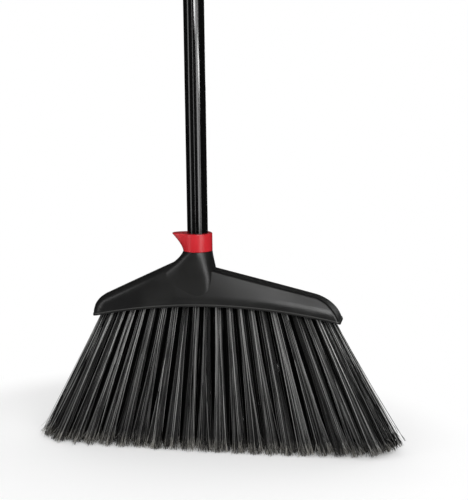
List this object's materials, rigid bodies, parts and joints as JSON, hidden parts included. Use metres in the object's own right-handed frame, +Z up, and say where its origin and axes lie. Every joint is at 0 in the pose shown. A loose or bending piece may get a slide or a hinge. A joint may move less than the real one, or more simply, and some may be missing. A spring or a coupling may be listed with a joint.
{
  "type": "broom",
  "caption": "Angle broom: moulded sloping head with fanned black bristle tufts, red beaked lock collar, and a black tube handle screwed together at a sleeve, with a hang-slot grip",
  "frame": {"origin": "on the floor under the middle of the bristle field, where the tips end", "axes": "+X along the head to the picture's right, -Y its front face, +Z up along the handle"},
  "size_m": [0.35, 0.0476, 1.42],
  "materials": {
    "cap_plastic": "satin",
    "block_plastic": "matte",
    "bristle": "satin",
    "staple_steel": "satin",
    "red_plastic": "gloss",
    "fitting_plastic": "satin",
    "black_tube": "gloss",
    "grip_plastic": "satin"
  },
  "bodies": {
    "head": {"head_shell": "cap_plastic", "tuft_block": "block_plastic", "front_tufts": "bristle", "mid_front_tufts": "bristle", "mid_back_tufts": "bristle", "back_tufts": "bristle", "tuft_anchors": "staple_steel"},
    "collar": {"lock_collar": "red_plastic"},
    "lower_handle": {"lower_tube": "black_tube", "handle_plug": "fitting_plastic", "lower_insert": "fitting_plastic", "coupling_sleeve": "fitting_plastic"},
    "upper_handle": {"upper_tube": "black_tube", "upper_insert": "fitting_plastic", "end_grip": "grip_plastic"}
  },
  "joints": [
    {"name": "collar_turn", "type": "hinge", "parent": "head", "child": "collar", "pos_m": [-0.0165, 0, 0.194], "axis": [0, 0, 1], "range_deg": [0, 90]},
    {"name": "handle_pull", "type": "slide", "parent": "head", "child": "lower_handle", "axis": [0, 0, 1], "range_m": [0, 0.06]},
    {"name": "upper_unscrew", "type": "slide", "parent": "lower_handle", "child": "upper_handle", "axis": [0, 0, 1], "range_m": [0, 0.095]}
  ]
}
